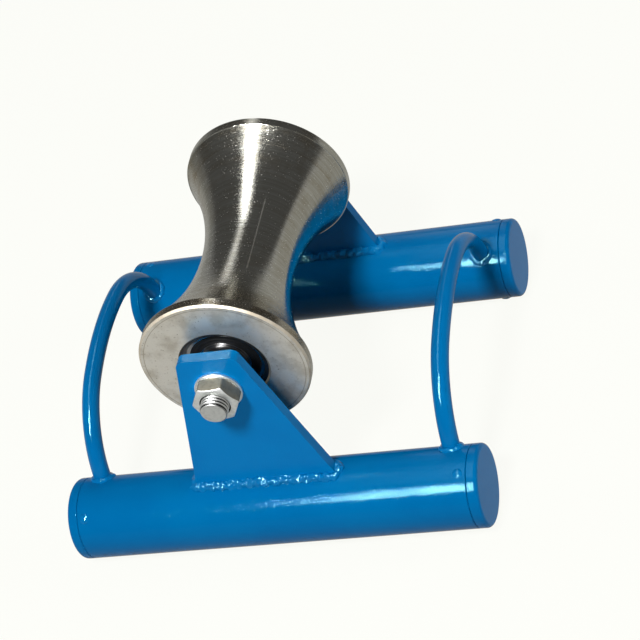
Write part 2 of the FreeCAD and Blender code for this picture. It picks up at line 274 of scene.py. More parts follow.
class Finish:
    """The nodes of one surface, or of the world."""

    def __init__(self, tree):
        self.tree = tree
        tree.nodes.clear()

    def node(self, kind, settings=None, sockets=None, output=0):
        """Add a node with its settings first, then its socket values or links."""
        made = self.tree.nodes.new(kind)
        for name, value in (settings or {}).items():
            setattr(made, name, value)
        for name, value in (sockets or {}).items():
            if isinstance(value, Signal):
                self.tree.links.new(value.socket, made.inputs[name])
            else:
                made.inputs[name].default_value = value
        return Signal(self, made.outputs[output]) if len(made.outputs) else made

    def place(self):
        """Position on the object, in metres."""
        return self.node("ShaderNodeTexCoord", output="Object")

    def parts(self, vector):
        """The X, Y and Z of a vector."""
        split = self.node("ShaderNodeSeparateXYZ", None, {0: vector})
        return [Signal(self, socket) for socket in split.socket.node.outputs]

    def joined(self, first, second, third):
        """A vector made of three values."""
        return self.node("ShaderNodeCombineXYZ", None, {0: first, 1: second, 2: third})

    def round_axle(self):
        """Position from the middle of the axle, its parts, and the radius about the axle."""
        place = self.node("ShaderNodeMapping", None,
                          {"Vector": self.place(), "Location": (0, 0, -axle_centre.z)})
        x, y, z = self.parts(place)
        return place, x, y, z, (x * x + z * z) ** 0.5

    def grain(self, vector, per_metre, detail=2.0, roughness=0.5):
        """Noise with a number of grains to the metre."""
        return self.node("ShaderNodeTexNoise", None,
                         {"Vector": vector, "Scale": per_metre, "Detail": detail, "Roughness": roughness})

    def lines(self, value, per_metre, detail=2.0, roughness=0.6):
        """Noise along one number, such as the distance along a turned surface."""
        return self.node("ShaderNodeTexNoise", {"noise_dimensions": "1D"},
                         {"W": value * per_metre, "Scale": 1.0, "Detail": detail, "Roughness": roughness})

    def fade(self, value, low, high, start=0.0, end=1.0):
        """Carry a value from one span to another, held at both ends."""
        return self.node("ShaderNodeMapRange", {"interpolation_type": "SMOOTHSTEP"},
                         {"Value": value, "From Min": low, "From Max": high, "To Min": start, "To Max": end})

    def blend(self, factor, first, second):
        """Mix two colours."""
        return self.node("ShaderNodeMix", {"data_type": "RGBA"}, {0: factor, 6: first, 7: second}, output=2)

    def bump(self, height, distance):
        """Normal of a surface whose height varies."""
        return self.node("ShaderNodeBump", None, {"Strength": 1.0, "Distance": distance, "Height": height})

    def surface(self, **sockets):
        """Close the tree with a Principled shader."""
        shader = self.node("ShaderNodeBsdfPrincipled", None, sockets)
        self.node("ShaderNodeOutputMaterial", None, {"Surface": shader})


def new_finish(name):
    """The empty tree of a new material."""
    material = bpy.data.materials.new(name)
    material.use_nodes = True
    return Finish(material.node_tree)


def solid(tint, share=1.0):
    """A share of a property colour as a shader colour."""
    return (tint[0] * share, tint[1] * share, tint[2] * share, 1.0)


def enamel_finish(colours, name, gloss, shade, lumps):
    """Glossy blue enamel with a faint orange peel, over rough weld metal if lumps are given, its blue
    darkened by the share shade as painted shade.
    """
    finish = new_finish(name)
    place = finish.place()
    clouds = finish.grain(place, 24.0, 3.0)
    thick = finish.fade(clouds, 0.35, 0.7) * 0.5
    base = finish.blend(thick, solid(colours.enamel, shade), solid(colours.enamel_dark, shade))
    dust = finish.fade(finish.grain(place, 420.0, 4.0, 0.7), 0.6, 0.85) * (0.12 - 0.12 * lumps)
    peel = finish.grain(place, 850.0, 2.0) + finish.grain(place, 110.0, 1.0) * 0.2
    height = peel + finish.grain(place, 300.0, 1.0) * lumps
    finish.surface(**{"Base Color": base, "Roughness": 0.03 + 0.02 * clouds + dust, "IOR": 1.5,
                      "Specular IOR Level": gloss, "Specular Tint": solid(colours.sheen), "Metallic": 0.0,
                      "Normal": finish.bump(height, 0.00011)})


def groove_finish(colours):
    """Bare steel with turning lines round the axle, brown film with painted dark reflection at its sides,
    specks and fine scratches.
    """
    finish = new_finish("groove_steel")
    place, x, y, z, radius = finish.round_axle()
    around = x.maths("ARCTAN2", x, z)
    along = abs(y) + radius
    ends = finish.fade(abs(y), 0.045, 0.085)

    # Relief of the turning, and a haze of dust that is thicker at the ends
    fine = finish.lines(along, 1900.0, 3.0, 0.7)
    coarse = finish.lines(along, 330.0, 2.0)
    brushed = finish.grain(finish.joined(around * 14.0, along * 1300.0, 2.0), 1.0, 2.0)
    normal = finish.bump(fine * 0.5 + brushed * 0.6 + coarse * 0.15, 0.00008)
    haze = finish.fade(finish.grain(place, 1500.0, 2.0), 0.35, 0.75) * (0.07 + 0.08 * ends)

    # Darker lines left by the tool
    rings = finish.lines(along, 700.0, 1.0)
    turning = finish.fade(coarse, 0.3, 0.7) * 0.4 + finish.fade(rings, 0.35, 0.65) * 0.6
    clean = finish.blend(turning, solid(colours.turned), solid(colours.turned_dark))

    # Brown film, thicker at the ends, with painted dark reflection in two bands along the groove at its
    # sides, on the left side and near the front flange
    film = finish.grain(place, 75.0, 5.0, 0.65)
    bands = finish.lines(along, 120.0, 3.0)
    wide = finish.grain(finish.joined(around * 1.4, y * 9.0, 0.0), 1.0, 2.0)
    thin = finish.fade(film * 0.6 + bands * 0.2 + wide * 0.2, 0.44, 0.64)
    # Painted dark reflection: bands at the sides, the left side and the part near the front flange
    sides = finish.fade(abs(abs(around - 0.15) - 1.15), 0.0, 0.5, 1.0, 0.0)
    left = finish.fade(around, -0.75, -1.15) * 0.3
    front = finish.fade(y, -0.048, -0.08) * 0.4
    stain = (thin * (0.3 + 0.25 * ends) + sides * 0.26 + left + front).least(1.0)
    base = finish.blend(stain * 0.8, clean, solid(colours.stain))

    # Bright marks: crooked streaks, arcs along the turning, specks and one long scratch
    ripple = finish.grain(finish.joined(around * 5.0, y * 14.0, 1.0), 1.0, 2.0)
    patches = finish.fade(finish.grain(place, 90.0, 2.0), 0.58, 0.66)
    streaks = finish.fade(abs(ripple - 0.5), 0.0, 0.004, 1.0, 0.0) * patches
    arcs = finish.fade(rings, 0.66, 0.74) * finish.fade(finish.grain(place, 60.0, 2.0), 0.5, 0.62)
    specks = finish.fade(finish.grain(place, 900.0, 1.0), 0.71, 0.76)
    scratch = finish.fade(abs(around - 0.5 - y * 0.6), 0.006, 0.02, 1.0, 0.0)
    scratch = scratch * finish.fade(abs(y), 0.03, 0.042, 0.35, 0.0)
    marks = (streaks * 0.25 + arcs * 0.3 + specks * 0.8 + scratch).least(1.0)
    base = finish.blend(marks, base, solid(colours.scratch))

    rough = 0.1 + 0.08 * stain + haze + 0.25 * marks + 0.3 * scratch
    finish.surface(**{"Base Color": base, "Roughness": rough, "Metallic": 1.0, "Normal": normal})


def end_face_finish(colours):
    """Duller turned end face with pits, stains, a few rust spots, and painted shade at the mouth of the
    bearing seat and on the outer chamfer.
    """
    finish = new_finish("end_face_steel")
    place, _, _, _, radius = finish.round_axle()
    rings = finish.lines(radius, 900.0, 3.0, 0.7)
    stain = finish.fade(finish.grain(place, 70.0, 5.0, 0.6), 0.42, 0.7) * 0.4
    rust = finish.fade(finish.grain(place, 85.0, 4.0, 0.7), 0.66, 0.74) * 0.8
    pits = finish.fade(finish.grain(place, 520.0, 3.0, 0.6), 0.62, 0.72)
    edge_line = finish.fade(abs(radius - line_radius), 0.0001, 0.0004, 0.6, 0.0)
    # Painted shade: the mouth of the bearing seat is darkened
    mouth = finish.fade(radius, mouth_radius, mouth_radius + 0.0003, 0.7, 0.0)
    chamfer = finish.fade(radius, chamfer_radius, chamfer_radius + 0.0004)
    base = finish.blend(stain, solid(colours.face), solid(colours.stain))
    base = finish.blend(rust, base, solid(colours.rust))
    base = finish.blend((pits * 0.75).most(edge_line).most(mouth), base, solid(colours.stain))
    # Painted shade: the outer chamfer is darkened to dim its highlight
    base = finish.blend(chamfer * 0.5, base, solid(colours.stain))
    rough = 0.3 + 0.06 * stain + 0.06 * rings + chamfer * 0.25
    finish.surface(**{"Base Color": base, "Roughness": rough, "Metallic": 0.87,
                      "Normal": finish.bump(rings - pits * 0.3, 0.0001)})


def plated_finish(name, tint, dull, rough, rings_per_metre, depth, dark=None):
    """Metal with faint turning or rolling marks, with painted shade inside a radius and short of a face if
    given.
    """
    finish = new_finish(name)
    place, _, y, _, radius = finish.round_axle()
    rings = finish.lines(abs(y) + radius, rings_per_metre, 2.0)
    mottle = finish.grain(place, 260.0, 4.0, 0.6)
    base = finish.blend(finish.fade(mottle, 0.4, 0.75), solid(tint), solid(tint, dull))
    # Painted shade: near black inside the given radius, except beyond the given face
    if dark is not None:
        inner, outer, face = dark
        bare = finish.fade(radius, inner, outer).most(finish.fade(abs(y), face, face + 0.0002))
        base = finish.blend(bare, (0.02, 0.02, 0.02, 1.0), base)
    finish.surface(**{"Base Color": base, "Roughness": rough + 0.12 * mottle, "Metallic": 1.0,
                      "Normal": finish.bump(rings + mottle * 0.6, depth)})


def moulded_finish(name, tint, rough, grains, gloss):
    """Matte rubber or plastic with a fine grain."""
    finish = new_finish(name)
    place = finish.place()
    skin = finish.grain(place, grains, 3.0)
    wear = finish.grain(place, 120.0, 3.0)
    worn = [level * 1.35 + 0.002 for level in tint]
    base = finish.blend(finish.fade(wear, 0.35, 0.75), solid(tint), solid(worn))
    finish.surface(**{"Base Color": base, "Roughness": rough + 0.15 * skin, "Metallic": 0.0,
                      "Specular IOR Level": gloss, "Normal": finish.bump(skin, 0.00003)})


def finishes():
    """The materials of this part, made once and then shared."""
    made = bpy.data.materials
    if "blue_enamel" not in made:
        colours = bpy.context.scene.finish_colours
        for name, gloss, shade, lumps in enamel_looks:
            enamel_finish(colours, name, gloss, shade, lumps)
        groove_finish(colours)
        end_face_finish(colours)
        end = axle_high.y
        # The last numbers of these rows give painted shade in the bores of the nuts and washers and in the
        # roots of the axle's thread
        plated_finish("zinc_plating", colours.zinc, 0.8, 0.36, 700.0, 0.00002, (0.0106, 0.0111, end))
        plated_finish("dull_zinc_plating", colours.shaded_zinc, 0.75, 0.52, 700.0, 0.00003)
        plated_finish("bright_axle_steel", colours.axle, 0.8, 0.34, 1500.0, 0.00002,
                      (0.0088, 0.0098, end - 0.0004))
        plated_finish("oiled_spacer_steel", colours.spacer, 0.7, 0.24, 1500.0, 0.00001)
        plated_finish("ground_bearing_steel", colours.bearing, 0.85, 0.16, 2200.0, 0.000005)
        plated_finish("black_spring_steel", colours.spring, 0.7, 0.35, 900.0, 0.00001)
        moulded_finish("seal_rubber_black", colours.rubber, 0.5, 900.0, 0.12)
        moulded_finish("cage_nylon", colours.cage, 0.45, 700.0, 0.5)
    return made


def merge(bm, distance=same_point):
    """Make one vertex of those that lie at the same point."""
    bmesh.ops.remove_doubles(bm, verts=bm.verts[:], dist=distance)


def only(items, kind):
    """The vertices, edges or faces among some items."""
    return [item for item in items if isinstance(item, kind)]


def soften(bm, items, offset, segments, affect):
    """Round some vertices or edges."""
    bmesh.ops.bevel(bm, geom=items, offset=offset, offset_type="OFFSET", segments=segments, profile=0.5,
                    affect=affect, material=-1, clamp_overlap=affect == "EDGES")


def finished_piece(bm, name, body, materials, nodes, sharp=34.0):
    """Turn a finished bmesh into a piece that rides on a body and stands for its CAD nodes."""
    merge(bm)
    bmesh.ops.recalc_face_normals(bm, faces=bm.faces[:])
    for face in bm.faces:
        face.smooth = True
    mesh = bpy.data.meshes.new(name)
    bm.to_mesh(mesh)
    bm.free()
    mesh.set_sharp_from_angle(angle=math.radians(sharp))
    for material in materials:
        mesh.materials.append(finishes()[material])
    piece = bpy.data.objects.new(name, mesh)
    bpy.context.scene.collection.objects.link(piece)
    even = piece.modifiers.new("Even normals", "WEIGHTED_NORMAL")
    even.keep_sharp = True
    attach(piece, body)
    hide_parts(*nodes)


def painted_piece(bm, name, materials, node, sharp=34.0):
    """A piece of the welded base."""
    finished_piece(bm, name, "frame", materials, [node], sharp)


def rear_copy(bm):
    """The rear copy of a front piece, turned half round about the vertical."""
    copy = bm.copy()
    bmesh.ops.rotate(copy, verts=copy.verts[:], cent=(0, 0, 0), matrix=half_turn)
    return copy


def finished_pair(bm, stem, body, materials, node):
    """Make the front piece and its rear copy."""
    rear = rear_copy(bm)
    finished_piece(bm, "front_" + stem, body, materials, ["front_" + node])
    finished_piece(rear, "rear_" + stem, body, materials, ["rear_" + node])


def wire(points, closed=True, segments=4):
    """Outline in the plane of Y and Z through (along, out, rounding) points, with its corners rounded."""
    bm = bmesh.new()
    corners = [bm.verts.new((0, along, out)) for along, out, _ in points]
    for first, second in zip(corners, corners[1:]):
        bm.edges.new((first, second))
    if closed:
        bm.edges.new((corners[-1], corners[0]))
    for corner, (_, _, rounding) in zip(corners, points):
        if rounding:
            soften(bm, [corner], rounding, segments, "VERTICES")
    return bm


def turn(bm, steps):
    """Spin a wire once about the Y axis and close its seam and poles."""
    bmesh.ops.spin(bm, geom=bm.verts[:] + bm.edges[:], cent=(0, 0, 0), axis=(0, 1, 0), angle=math.tau,
                   steps=steps, use_merge=True)
    merge(bm)
    return bm


def carry(bm, centre, matrix=None):
    """Turn a shape if asked and move it to its centre."""
    if matrix is not None:
        bmesh.ops.rotate(bm, verts=bm.verts[:], cent=(0, 0, 0), matrix=matrix)
    bmesh.ops.translate(bm, verts=bm.verts[:], vec=centre)
    return bm


def round_bead(points, radius, steps):
    """Round bead along a closed smooth line through the points."""
    curve = bpy.data.curves.new("bead_line", "CURVE")
    curve.dimensions = "3D"
    line = curve.splines.new("NURBS")
    line.points.add(len(points) - 1)
    for control, point in zip(line.points, points):
        control.co = (point[0], point[1], point[2], 1.0)
    line.use_cyclic_u = True
    line.order_u = 4
    line.resolution_u = steps
    curve.bevel_depth = radius
    curve.bevel_resolution = 22
    holder = bpy.data.objects.new("bead_line", curve)
    mesh = bpy.data.meshes.new_from_object(holder)
    bm = bmesh.new()
    bm.from_mesh(mesh)
    bpy.data.objects.remove(holder)
    bpy.data.curves.remove(curve)
    bpy.data.meshes.remove(mesh)
    return bm


def make_lumpy(bm, size, height, ripple, lumps=()):
    """Swell a bead unevenly, as weld metal sets, with ripples and a few larger lumps."""
    bmesh.ops.recalc_face_normals(bm, faces=bm.faces[:])
    bm.normal_update()
    for vert in bm.verts:
        swell = height * noise.noise(vert.co / size)
        swell += height * 0.5 * noise.noise(vert.co / (size * 0.5))
        swell += ripple * noise.noise(vert.co / (size * 0.28))
        for place, reach, rise in lumps:
            apart = (vert.co - Vector(place)).length / reach
            swell += rise * math.exp(-apart * apart)
        vert.co += vert.normal * swell


def add_tubes(sizes):
    """Both hollow tubes, just short of their caps so that the seams stay dark."""
    half = (tube_high.x - tube_low.x) / 2 - sizes.seam_gap
    inner = tube_radius - sizes.tube_wall
    edge = tube_radius - sizes.seam_chamfer
    soft = sizes.seam_chamfer * 0.3
    points = [(-half, inner, 0), (-half, edge, soft), (-half + sizes.seam_chamfer, tube_radius, soft),
              (half - sizes.seam_chamfer, tube_radius, soft), (half, edge, soft), (half, inner, 0)]
    bm = carry(turn(wire(points), 192), tube_centre, quarter_turn)
    finished_pair(bm, "tube_skin", "frame", ["tube_enamel"], "tube")


def add_caps(sizes):
    """Four plug caps with a rounded edge and a spigot."""
    seat = tube_high.x
    edge = tube_radius - sizes.seam_chamfer
    spigot = tube_radius - sizes.tube_wall - spigot_clearance
    end = cap_high.x
    soft = sizes.seam_chamfer * 0.3
    points = [(seat - sizes.spigot_length, 0, 0), (seat - sizes.spigot_length, spigot, 0), (seat, spigot, 0),
              (seat, edge, soft), (seat + sizes.seam_chamfer, tube_radius, soft),
              (end, tube_radius, sizes.cap_edge), (end, 0, 0)]
    centre = Vector((0, tube_centre.y, tube_centre.z))
    right = carry(turn(wire(points, False, 8), 192), centre, quarter_turn)
    left = right.copy()
    bmesh.ops.rotate(left, verts=left.verts[:], cent=centre, matrix=half_turn)
    names = (("front_right_cap", right.copy()), ("front_left_cap", left.copy()),
             ("rear_left_cap", rear_copy(right)), ("rear_right_cap", rear_copy(left)))
    for name, shape in names:
        shape.normal_update()
        for face in shape.faces:
            # Painted light: the flat end faces take the brighter blue_enamel and the rest the darker
            # tube_enamel, lit and shaded copies of one enamel
            if abs(face.normal.x) > 0.95 and abs(face.calc_center_median().x) > end - sizes.cap_edge:
                face.material_index = 1
        painted_piece(shape, name + "_shell", ["tube_enamel", "blue_enamel"], name)
    right.free()
    left.free()


def add_plugs(sizes):
    """Low weld domes that fill the holes at the caps, placed as the solids are."""
    for side in ("front_", "rear_"):
        merged = bmesh.new()
        merged.from_mesh(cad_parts[side + "plug_welds"].data)
        merge(merged)
        centre_line = Vector((0, (1 if side == "rear_" else -1) * abs(tube_centre.y), tube_centre.z))
        domes = bmesh.new()
        for tip in dome_tips(merged, centre_line):
            out = Vector((0, tip.y - centre_line.y, tip.z - centre_line.z)).normalized()
            ball = bmesh.new()
            bmesh.ops.create_uvsphere(ball, u_segments=32, v_segments=16, radius=1.0)
            width = sizes.plug_width * plug_spread
            depth = sizes.plug_height * plug_rise
            bmesh.ops.scale(ball, verts=ball.verts[:], vec=(width, width, depth))
            turned = out.to_track_quat("Z", "X").to_matrix()
            height = tube_radius - sizes.plug_height * plug_sink
            foot = Vector((tip.x, centre_line.y, centre_line.z)) + out * height
            carry(ball, foot, turned)
            make_lumpy(ball, size=0.004, height=0.00016, ripple=0.00004)
            join_shapes(domes, ball)
        merged.free()
        painted_piece(domes, side + "plug_domes", ["bead_enamel"], side + "plug_welds")


def dome_tips(bm, centre_line):
    """The outermost point of each separate dome of a merged mesh."""
    tips = []
    left = set(bm.verts)
    while left:
        group = [left.pop()]
        for vert in group:
            for edge in vert.link_edges:
                other = edge.other_vert(vert)
                if other in left:
                    left.remove(other)
                    group.append(other)
        centre = sum((vert.co for vert in group), Vector()) / len(group)
        reach = max(math.hypot(v.co.y - centre_line.y, v.co.z - centre_line.z) for v in group)
        if reach > tube_radius:
            tips.append(centre)
    return sorted(tips, key=lambda point: (round(point.x, 4), round(point.z, 4)))


def join_shapes(target, part):
    """Move the faces of one shape into another."""
    carrier = bpy.data.meshes.new("carrier")
    part.to_mesh(carrier)
    part.free()
    target.from_mesh(carrier)
    bpy.data.meshes.remove(carrier)


def add_plates(sizes):
    """Both plates, with rounded top corners, soft rims and the hole for the axle."""
    bm = bmesh.new()
    foot = plate_low.z - plate_sink
    outline = [(plate_low.x, foot), (plate_high.x, foot), (sizes.plate_top_width / 2, plate_high.z),
               (-sizes.plate_top_width / 2, plate_high.z)]
    corners = [bm.verts.new((x, plate_low.y, z)) for x, z in outline]
    for first, second in zip(corners, corners[1:] + corners[:1]):
        bm.edges.new((first, second))
    for corner in corners[2:]:
        soften(bm, [corner], sizes.plate_corner * corner_share, 10, "VERTICES")
    bmesh.ops.create_circle(bm, segments=64, radius=sizes.plate_hole, cap_ends=False,
                            matrix=Matrix.Translation((0, plate_low.y, axle_centre.z))
                            @ Matrix.Rotation(math.pi / 2, 4, "X"))
    bmesh.ops.triangle_fill(bm, use_beauty=True, use_dissolve=False, edges=bm.edges[:])
    grown = bmesh.ops.extrude_face_region(bm, geom=bm.faces[:], use_keep_orig=True)
    moved = only(grown["geom"], bmesh.types.BMVert)
    bmesh.ops.translate(bm, verts=moved, vec=(0, plate_high.y - plate_low.y, 0))
    bmesh.ops.recalc_face_normals(bm, faces=bm.faces[:])
    rims = [edge for edge in bm.edges if len(edge.link_faces) == 2 and edge.calc_face_angle() > 1.0
            and abs(edge.verts[0].co.y - edge.verts[1].co.y) < 0.0001
            and max(vert.co.z for vert in edge.verts) > foot + 0.0001]
    soften(bm, rims, sizes.plate_edge, 4, "EDGES")
    bm.normal_update()
    # Painted shade: the sides and top take the darker edge_enamel, and the bevels the glossier, darker
    # bead_enamel, shaded copies of the plates' blue
    for face in bm.faces:
        if 0.1 < abs(face.normal.y) < 0.98:
            face.material_index = 1
        elif abs(face.normal.y) < 0.1:
            face.material_index = 2
    finished_pair(bm, "plate", "frame", ["blue_enamel", "bead_enamel", "edge_enamel"],
                  "bracket")


def foot_loop():
    """Points of a closed line round the foot of the front plate, just off the plate and in the tube."""
    half_x = (plate_high.x - plate_low.x) / 2 + bead_clearance
    half_y = (plate_high.y - plate_low.y) / 2 + 2 * bead_clearance
    corners = [(-half_x, -half_y), (half_x, -half_y), (half_x, half_y), (-half_x, half_y)]
    points = []
    for (x0, y0), (x1, y1) in zip(corners, corners[1:] + corners[:1]):
        count = max(2, round(math.hypot(x1 - x0, y1 - y0) / bead_step))
        for step in range(count):
            share = step / count
            x = x0 + (x1 - x0) * share
            y = y0 + (y1 - y0) * share
            z = tube_radius + math.sqrt(tube_radius ** 2 - y ** 2) - bead_clearance
            points.append((x, tube_centre.y + y, z))
    return points


def add_plate_welds(sizes):
    """Lumpy bead round the foot of each plate."""
    bead = round_bead(foot_loop(), sizes.bead_size, 12)
    rear = rear_copy(bead)
    lumps = [((-0.007, plate_low.y - 0.0015, plate_low.z + 0.002), 0.0045, 0.0013)]
    make_lumpy(bead, size=0.0042, height=0.0015, ripple=0.0003, lumps=lumps)
    make_lumpy(rear, size=0.0042, height=0.0015, ripple=0.0003)
    for bm, side in ((bead, "front_"), (rear, "rear_")):
        painted_piece(bm, side + "plate_bead", ["bead_enamel"], side + "bracket_welds", 60.0)


def rod_bow(sizes):
    """Height of a rod's centre line at its middle, and where its shoulders spring from the straight ends."""
    apex = rod_high.z - (rod_high.x - rod_low.x) / 2
    reach = sizes.rod_half_span - sizes.rod_shoulder
    spring = apex - sizes.rod_crown + math.sqrt((sizes.rod_crown - sizes.rod_shoulder) ** 2 - reach ** 2)
    return apex, reach, spring


def rod_foot(sizes):
    """Where the bow meets the rear tube in the plane of Y and Z, and the bow's direction there."""
    _, reach, spring = rod_bow(sizes)
    tube = Vector((abs(tube_centre.y), tube_centre.z))
    shoulder = Vector((reach, spring))
    meets = geometry.intersect_sphere_sphere_2d(tube, tube_radius, shoulder, sizes.rod_shoulder)
    foot = max(meets, key=lambda point: point.y)
    spoke = (foot - shoulder).normalized()
    return foot, tube, Vector((-spoke.y, spoke.x))


def rod_shape(sizes, x):
    """Round bar bent along two shoulders and a long arc, with its ends let into the tubes."""
    radius = (rod_high.x - rod_low.x) / 2
    apex, reach, spring = rod_bow(sizes)
    crown_centre = apex - sizes.rod_crown
    bend = math.pi / 2 - math.atan2(reach, spring - crown_centre)
    bow = math.pi - 2 * bend
    bm = bmesh.new()
    bmesh.ops.create_circle(bm, segments=48, radius=radius, cap_ends=True,
                            matrix=Matrix.Translation((x, -sizes.rod_half_span, spring)))
    runs = (((x, -reach, spring), bend, 40), ((x, 0, crown_centre), bow, 48), ((x, reach, spring), bend, 40))
    end = bm.faces[:]
    for centre, angle, steps in runs:
        spun = bmesh.ops.spin(bm, geom=end, cent=centre, axis=(-1, 0, 0), angle=angle, steps=steps,
                              use_merge=False)
        end = only(spun["geom_last"], bmesh.types.BMFace)
    foot, tube, _ = rod_foot(sizes)
    out = (foot - tube).normalized()
    cut = foot - out * sizes.rod_sink
    for side in (-1, 1):
        bmesh.ops.bisect_plane(bm, geom=bm.verts[:] + bm.edges[:] + bm.faces[:],
                               plane_co=(0, side * cut.x, cut.y), plane_no=(0, -side * out.x, -out.y),
                               clear_outer=True)
        bmesh.ops.holes_fill(bm, edges=[edge for edge in bm.edges if edge.is_boundary], sides=0)
    return bm


def rod_foot_loop(sizes, x, side):
    """Points of the closed line where a rod meets the front or rear tube."""
    radius = (rod_high.x - rod_low.x) / 2 + 0.0004
    foot, tube, direction = rod_foot(sizes)
    across = Vector((direction.y, -direction.x))
    points = []
    for step in range(20):
        angle = math.tau * step / 20
        start = foot + across * radius * math.sin(angle)
        meets = geometry.intersect_line_sphere_2d(start, start + direction, tube, tube_radius - 0.0003, False)
        place = max(meets, key=lambda point: point.y)
        points.append((x + radius * math.cos(angle), side * place.x, place.y))
    return points


def add_rods(sizes):
    """Both handle rods and the small beads at their feet."""
    for name, sign in (("right", 1), ("left", -1)):
        x = sign * (rod_low.x + rod_high.x) / 2
        painted_piece(rod_shape(sizes, x), name + "_rod_bar", ["bar_enamel"], name + "_handle_rod")
        beads = bmesh.new()
        for side in (-1, 1):
            bead = round_bead(rod_foot_loop(sizes, x, side), sizes.rod_bead, 5)
            make_lumpy(bead, size=0.0045, height=0.0008, ripple=0.0001)
            join_shapes(beads, bead)
        painted_piece(beads, name + "_rod_beads", ["bead_enamel"], name + "_rod_welds", 60.0)


def add_roller(sizes):
    """Hourglass body with its rims, end faces, bearing seats and bore."""
    end = roller_high.y
    flange = roller_high.z - axle_centre.z
    groove_end = end - sizes.rim_width
    groove_edge = flange - sizes.rim_step
    seat = sizes.seat_radius
    seat_end = end - sizes.bearing_recess - sizes.bearing_width
    shoulder = seat - bearing_shoulder
    clip_inner = end - sizes.bearing_recess
    clip_outer = clip_inner + clip_groove_width
    clip_radius = seat + clip_groove_depth
    half = [(groove_end, groove_edge, 0), (groove_end, flange, 0.0005),
            (end - sizes.rim_chamfer, flange, 0.0002), (end, flange - sizes.rim_chamfer, 0.0002),
            (end, seat + sizes.mouth_chamfer, 0.0002), (end - sizes.mouth_chamfer, seat, 0.0002),
            (clip_outer, seat, 0), (clip_outer, clip_radius, 0),
            (clip_inner, clip_radius, 0), (clip_inner, seat, 0), (seat_end, seat, 0), (seat_end, shoulder, 0),
            (seat_end - bore_cone, sizes.core_radius, 0)]
    points = half + [(-along, out, rounding) for along, out, rounding in reversed(half)]
    bm = wire(points, False, 3)
    bm.verts.ensure_lookup_table()
    ends = [vert for vert in bm.verts if len(vert.link_edges) == 1]
    start = min(ends, key=lambda vert: vert.co.y)
    finish = max(ends, key=lambda vert: vert.co.y)
    drop = groove_edge - sizes.waist_radius
    arc = (groove_end ** 2 + drop ** 2) / (2 * drop)
    spread = math.asin(groove_end / arc)
    spun = bmesh.ops.spin(bm, geom=[start], cent=(0, 0, sizes.waist_radius + arc), axis=(1, 0, 0),
                          angle=2 * spread, steps=72, use_merge=False)
    bmesh.ops.weld_verts(bm, targetmap={only(spun["geom_last"], bmesh.types.BMVert)[0]: finish})
    turn(bm, 256)
    carry(bm, axle_centre)
    for face in bm.faces:
        middle = face.calc_center_median()
        if abs(middle.y) > end - sizes.rim_chamfer * 1.02:
            face.material_index = 1
    finished_piece(bm, "roller_body", "roller", ["groove_steel", "end_face_steel"],
                   ["roller"])


def threaded_end(sizes, start, end):
    """Thread on a stub from start to end along Y, with its end chamfered."""
    pitch = sizes.thread_pitch
    crest = sizes.thread_radius
    root = crest - thread_depth * pitch
    above_root = root + 0.0001
    flank = root + (crest - root) * 0.42
    below_crest = crest - 0.00008
    steps = 64
    turns = math.ceil((end - start) / pitch) + 2
    first = start - pitch
    # Share of the pitch and radius of each point of one turn's outline
    outline = ((0.0, above_root), (0.09, root), (0.18, above_root), (0.32, flank), (0.5, below_crest),
               (0.545, crest), (0.59, below_crest), (0.77, flank), (1.0, above_root))
    bm = wire([(first + pitch * share, radius, 0) for share, radius in outline], False)
    bmesh.ops.spin(bm, geom=bm.verts[:] + bm.edges[:], cent=(0, 0, 0), axis=(0, 1, 0),
                   dvec=(0, pitch / steps, 0), angle=math.tau * turns, steps=steps * turns, use_merge=False)
    merge(bm, 2 * same_point)
    for place, facing in ((start, (0, -1, 0)), (end, (0, 1, 0))):
        bmesh.ops.bisect_plane(bm, geom=bm.verts[:] + bm.edges[:] + bm.faces[:], plane_co=(0, place, 0),
                               plane_no=facing, clear_outer=True)
        rim = [edge for edge in bm.edges if edge.is_boundary and abs(edge.verts[0].co.y - place) < 0.00001
               and abs(edge.verts[1].co.y - place) < 0.00001]
        bmesh.ops.holes_fill(bm, edges=rim, sides=0)

    # Chamfer at the free end
    for vert in bm.verts:
        reach = math.hypot(vert.co.x, vert.co.z)
        limit = sizes.end_radius + (end - vert.co.y)
        if reach > limit:
            vert.co.x *= limit / reach
            vert.co.z *= limit / reach
    return bm


def add_axle(sizes):
    """Stepped axle with a real thread on each end, and the two spacers."""
    journal_end = -plate_high.y - 0.0005
    seat_end = roller_high.y - sizes.bearing_recess - sizes.bearing_width
    core = sizes.thread_radius - 0.0003
    core_end = -plate_low.y + core_overlap
    half = [(seat_end, sizes.shoulder_radius, 0.0003), (seat_end, sizes.journal_radius, 0),
            (journal_end, sizes.journal_radius, 0.0003), (journal_end, core, 0),
            (core_end, core, 0), (core_end, 0, 0)]
    points = [(-along, out, rounding) for along, out, rounding in reversed(half)] + half
    bm = carry(turn(wire(points, False, 3), 96), axle_centre)
    stub = carry(threaded_end(sizes, -nut_low.y - thread_behind_nut_face, axle_high.y), axle_centre)
    join_shapes(bm, rear_copy(stub))
    join_shapes(bm, stub)
    finished_piece(bm, "axle_bar", "frame", ["bright_axle_steel"], ["axle"], 50.0)
    outer = (spacer_high.x - spacer_low.x) / 2
    inner = sizes.journal_radius + 0.00006
    points = [(spacer_low.y, inner, 0.0003), (spacer_low.y, outer, 0.0005), (spacer_high.y, outer, 0.0005),
              (spacer_high.y, inner, 0.0003)]
    bm = carry(turn(wire(points), 128), axle_centre)
    finished_pair(bm, "spacer_collar", "frame", ["oiled_spacer_steel"], "spacer")


